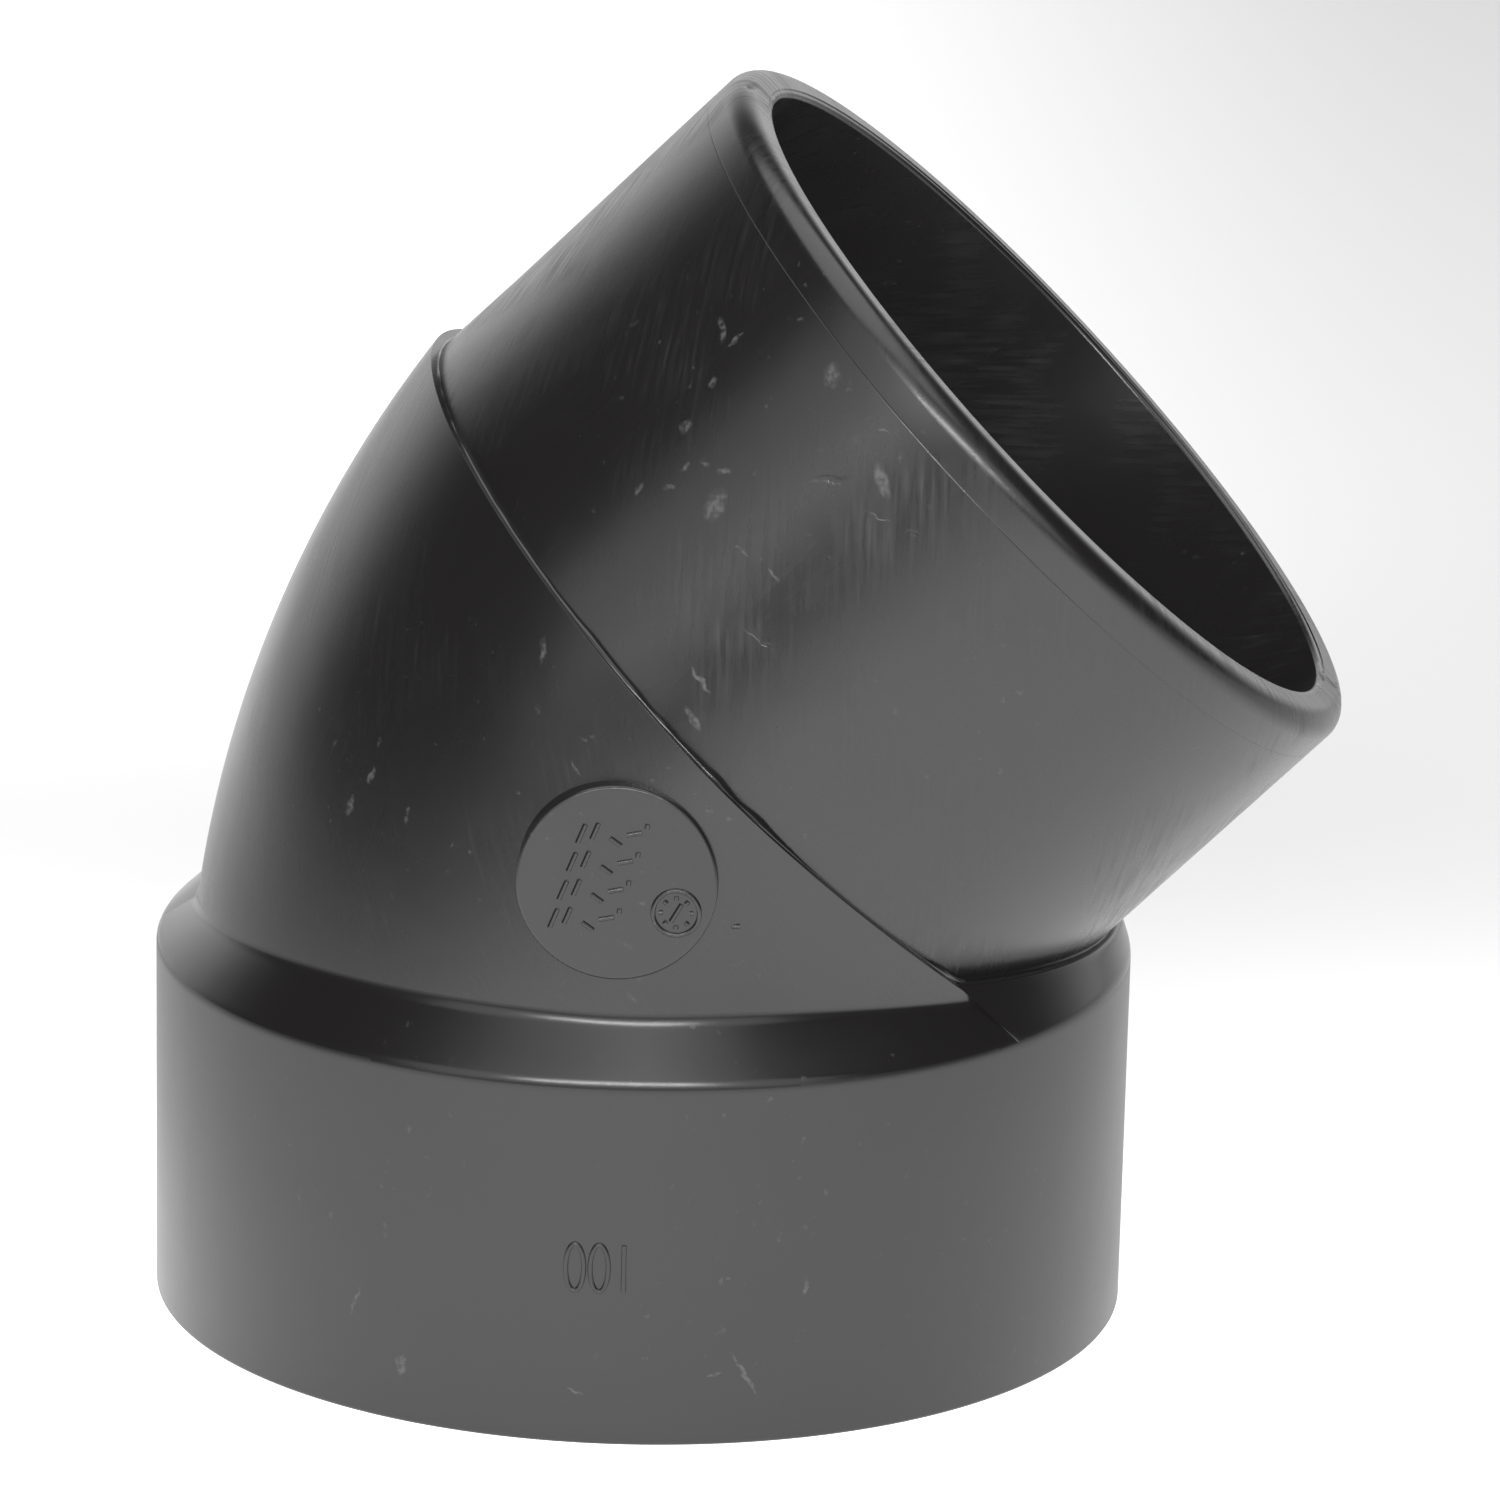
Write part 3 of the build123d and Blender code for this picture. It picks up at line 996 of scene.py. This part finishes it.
# %% Lay the floor
FLOOR_GAP = 0.05 * MM
GLOW = 1.47
GLOW_BEHIND = 0.3                    # share of the glow that the far floor has
floor_bm = bmesh.new()
bmesh.ops.create_grid(floor_bm, x_segments=1, y_segments=1, size=6,
                      matrix=Matrix.Translation((0, 0, -FLOOR_GAP)))
floor_mesh = bpy.data.meshes.new("floor")
floor_bm.to_mesh(floor_mesh)
floor_bm.free()
floor = bpy.data.objects.new("floor", floor_mesh)
bpy.context.scene.collection.objects.link(floor)
floor_paint = Paint("light table")
floor_paint.shader.inputs["Base Color"].default_value = (0.8, 0.8, 0.8, 1)
floor_paint.shader.inputs["Roughness"].default_value = 0.8
floor_paint.shader.inputs["Emission Strength"].default_value = GLOW
from_front = floor_paint.turned(floor_paint.place, (0, -0.24, 0))
reach = floor_paint.node("ShaderNodeVectorMath", {"operation": "LENGTH"}, {0: from_front}, out=1)
side = floor_paint.node("ShaderNodeSeparateXYZ", None, {0: floor_paint.place}, out=0)
depth = floor_paint.node("ShaderNodeSeparateXYZ", None, {0: floor_paint.place}, out=1)
in_front = (1 - reach.between(0.12, 0.50)) * (1 - depth.between(-0.05, 0.10) * 0.4)
far_back = depth.between(0.15, 0.40) * (1 - side.between(-0.10, 0.15)) * GLOW_BEHIND
floor_paint.feed(floor_paint.shader.inputs["Emission Color"],
                 floor_paint.blend(in_front + far_back, (0, 0, 0, 1), (1, 1, 1, 1)))
floor_mesh.materials.append(floor_paint.material)
print("floor", round(FLOOR_GAP / MM, 2), "mm below the foot")

# %% [markdown]
# ## Light
# Glossy black plastic has almost no colour of its own: what shows is what it mirrors. A long
# softbox stands in front, with a small bright strip in it that draws the thin lines along the
# edges. A panel hangs overhead, and a pale surround behind lights the outlines. Left and right
# stay dark and draw the black bands.

# %% Hang the lights
AIM = Vector((0, 0, 0.08))           # the middle of the fitting


def panel(name, azimuth, elevation, distance, width, height, radiance):
    """Soft panel that faces the fitting. Azimuth 0 is behind the camera, 90 to its right."""
    light = bpy.data.lights.new(name, "AREA")
    light.shape = "RECTANGLE"
    light.size = width
    light.size_y = height
    light.energy = radiance * pi * width * height
    lamp = bpy.data.objects.new(name, light)
    bpy.context.scene.collection.objects.link(lamp)
    way = Euler((pi / 2 - radians(elevation), 0, radians(azimuth))).to_matrix().to_4x4()
    lamp.matrix_world = Matrix.Translation(AIM) @ way @ Matrix.Translation((0, 0, distance))
    lamp.visible_camera = False
    return lamp


panel("front softbox", -3, 27, 2.2, 4.7, 1.6, 1.42)
panel("edge strip", -3, 23, 2.1, 1.5, 0.16, 34)
panel("overhead panel", 0, 88, 1.9, 2.4, 2.4, 2.4)

# %% Set up the surround
SURROUND = 1.6
DARK_ROOM = 0.03
world = bpy.data.worlds.new("studio")
bpy.context.scene.world = world
world.use_nodes = True


def world_node(kind, **values):
    made = world.node_tree.nodes.new(kind)
    for key, value in values.items():
        made.inputs[key.replace("_", " ")].default_value = value
    return made


join = world.node_tree.links.new
world.node_tree.nodes.clear()
way_out = world_node("ShaderNodeTexCoord")
split = world_node("ShaderNodeSeparateXYZ")
behind = world_node("ShaderNodeMapRange", From_Min=0.28, From_Max=0.8, To_Min=0.0, To_Max=1.0)
low_down = world_node("ShaderNodeMapRange", From_Min=0.25, From_Max=0.62, To_Min=1.0, To_Max=0.0)
behind.interpolation_type = low_down.interpolation_type = "SMOOTHSTEP"
both = world_node("ShaderNodeMath")
both.operation = "MULTIPLY"
strength = world_node("ShaderNodeMath")
strength.operation = "MULTIPLY_ADD"
strength.inputs[1].default_value = SURROUND
strength.inputs[2].default_value = DARK_ROOM
background = world_node("ShaderNodeBackground")
output = world_node("ShaderNodeOutputWorld")
join(way_out.outputs["Generated"], split.inputs[0])
join(split.outputs["Y"], behind.inputs["Value"])
join(split.outputs["Z"], low_down.inputs["Value"])
join(behind.outputs["Result"], both.inputs[0])
join(low_down.outputs["Result"], both.inputs[1])
join(both.outputs[0], strength.inputs[0])
join(strength.outputs[0], background.inputs["Strength"])
join(background.outputs[0], output.inputs[0])

# %% [markdown]
# ## Tone
# The picture is shown plainly, with its deepest blacks lifted a little, as print and screen
# pictures of black goods usually are, so that the inside of the spigot isn't a hole.

# %% Set the tone
view = bpy.context.scene.view_settings
view.view_transform = "Standard"
view.use_curve_mapping = True
LIFT = 0.0075
view.curve_mapping.black_level = (-LIFT, -LIFT * 0.92, -LIFT * 0.95)
view.curve_mapping.update()
